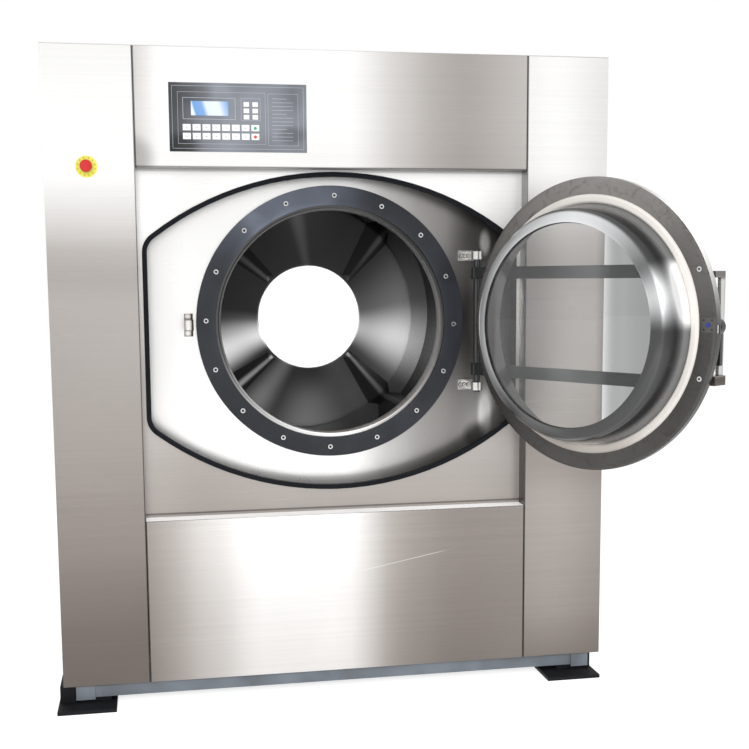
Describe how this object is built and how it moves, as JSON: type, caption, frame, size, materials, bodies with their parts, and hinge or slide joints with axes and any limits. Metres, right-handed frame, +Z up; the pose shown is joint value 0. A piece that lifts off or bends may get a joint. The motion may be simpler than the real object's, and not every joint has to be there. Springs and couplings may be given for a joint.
{
  "type": "industrial washing machine",
  "caption": "Front-loading industrial washing machine in stainless steel, its round side-hung door standing open",
  "frame": {"origin": "on the floor, in the middle of the four anchor holes", "axes": "+X to the right seen from the front, +Y back along the drum axis and the pipes, +Z up; the front faces -Y"},
  "size_m": [1.7487, 2.2388, 1.938],
  "materials": {
    "brushed_steel": "brushed stainless sheet",
    "polished_steel": "polished stainless plate",
    "tub_steel": "mill-finish stainless",
    "drum_steel": "perforated stainless drum, worn bright",
    "hub_steel": "bright polished cover",
    "bowl_steel": "spun and polished",
    "rim_steel": "dark satin steel",
    "screw_steel": "bright screws",
    "bearing_steel": "ground steel",
    "spring_steel": "black painted springs",
    "latch_plate_steel": "satin plate with a blue centre",
    "painted_frame": "blue-grey paint",
    "painted_box": "light grey paint",
    "cast_paint": "dark painted castings",
    "motor_paint": "blue-grey motor paint",
    "ring_rubber": "dark flat ring",
    "trim_rubber": "black edge trim",
    "seal_rubber": "pale food-grade rubber",
    "rubber": "black rubber",
    "film": "dark printed film",
    "keys": "raised white keys",
    "display_glass": "pale blue display",
    "yellow_plate": "yellow backing plate",
    "red_plastic": "red button",
    "black_plastic": "black plastic",
    "drain_plastic": "grey pipe",
    "brass": "turned brass",
    "door_glass": "tempered glass"
  },
  "bodies": {
    "cabinet": {"base_frame": "painted_frame", "isolator_feet": "rubber", "left_column": "brushed_steel", "right_column": "brushed_steel", "top_fascia": "brushed_steel", "lower_access_panel": "brushed_steel", "recess_panel": "brushed_steel", "cutout_trim": "trim_rubber", "left_side_panel": "brushed_steel", "right_side_panel": "brushed_steel", "roof_panel": "brushed_steel", "rear_panel": "brushed_steel", "drive_cover": "brushed_steel", "cover_screws": "screw_steel", "keypad_film": "film", "membrane_keys": "keys", "display": "display_glass", "stop_plate": "yellow_plate", "stop_collar": "black_plastic", "electrical_box": "painted_box", "water_valves": "brass", "drain_outlet": "drain_plastic", "drain_bellows": "rubber", "suspension_springs": "spring_steel", "damper_cylinders": "cast_paint"},
    "tub": {"damper_rods": "polished_steel", "tub_front_plate": "polished_steel", "tub_shell": "tub_steel", "tub_rear_plate": "tub_steel", "mouth_ring": "ring_rubber", "ring_screws": "screw_steel", "latch_keeper": "screw_steel", "hinge_brackets": "polished_steel", "bearing_housing": "cast_paint", "drum_bearings": "bearing_steel", "tub_cradle": "painted_frame", "motor": "motor_paint", "drive_belts": "rubber", "drain_valve": "drain_plastic"},
    "drum": {"drum_shell": "drum_steel", "drum_back": "drum_steel", "drum_lifters": "drum_steel", "hub_cover": "hub_steel", "drum_spider": "cast_paint", "drum_shaft": "bearing_steel", "drum_pulley": "cast_paint"},
    "motor_rotor": {"motor_pulley": "cast_paint"},
    "door": {"door_rim": "rim_steel", "door_bowl": "bowl_steel", "door_glass": "door_glass", "glass_gasket": "rubber", "door_seal": "seal_rubber", "door_arms": "rim_steel", "grab_bar": "polished_steel", "rim_screws": "screw_steel", "latch_plate": "latch_plate_steel"},
    "latch_handle": {"latch_handle": "rim_steel"},
    "latch_tongue": {"latch_tongue": "screw_steel"},
    "stop_button": {"stop_stem": "black_plastic"},
    "stop_cap": {"stop_head": "red_plastic"}
  },
  "joints": [
    {"name": "tub_bounce", "type": "slide", "parent": "cabinet", "child": "tub", "axis": [0, 0, 1], "range_m": [-0.012, 0.012], "stiffness_N_per_m": 400000, "springref_m": 0.0286, "deforming": ["suspension_springs", "drain_bellows"]},
    {"name": "drum_spin", "type": "hinge", "parent": "tub", "child": "drum", "pos_m": [0, 0, 1.11], "axis": [0, 1, 0], "continuous": true},
    {"name": "motor_spin", "type": "hinge", "parent": "tub", "child": "motor_rotor", "pos_m": [0.4, 0, 0.3], "axis": [0, 1, 0], "continuous": true},
    {"name": "door_swing", "type": "hinge", "parent": "tub", "child": "door", "pos_m": [0.4374, -0.6894, 1.11], "axis": [0, 0, 1], "range_deg": [-122.5, 30]},
    {"name": "latch_turn", "type": "hinge", "parent": "door", "child": "latch_handle", "pos_m": [0.87131, -1.38334, 1.114], "axis": [-0.8434, -0.5373, 0], "range_deg": [0, 90]},
    {"name": "latch_slide", "type": "slide", "parent": "door", "child": "latch_tongue", "axis": [0.5373, -0.8434, 0], "range_m": [0, 0.03]},
    {"name": "stop_press", "type": "slide", "parent": "cabinet", "child": "stop_button", "axis": [0, 1, 0], "range_m": [0, 0.004], "stiffness_N_per_m": 2000},
    {"name": "stop_twist", "type": "hinge", "parent": "stop_button", "child": "stop_cap", "pos_m": [-0.708, -0.786, 1.558], "axis": [0, 1, 0], "range_deg": [0, 40], "stiffness_Nm_per_rad": 0.2}
  ],
  "couplings": [
    {"joint": "motor_spin", "follows": "drum_spin", "ratio": 5},
    {"joint": "latch_slide", "follows": "latch_turn", "m_per_rad": 0.019099}
  ]
}
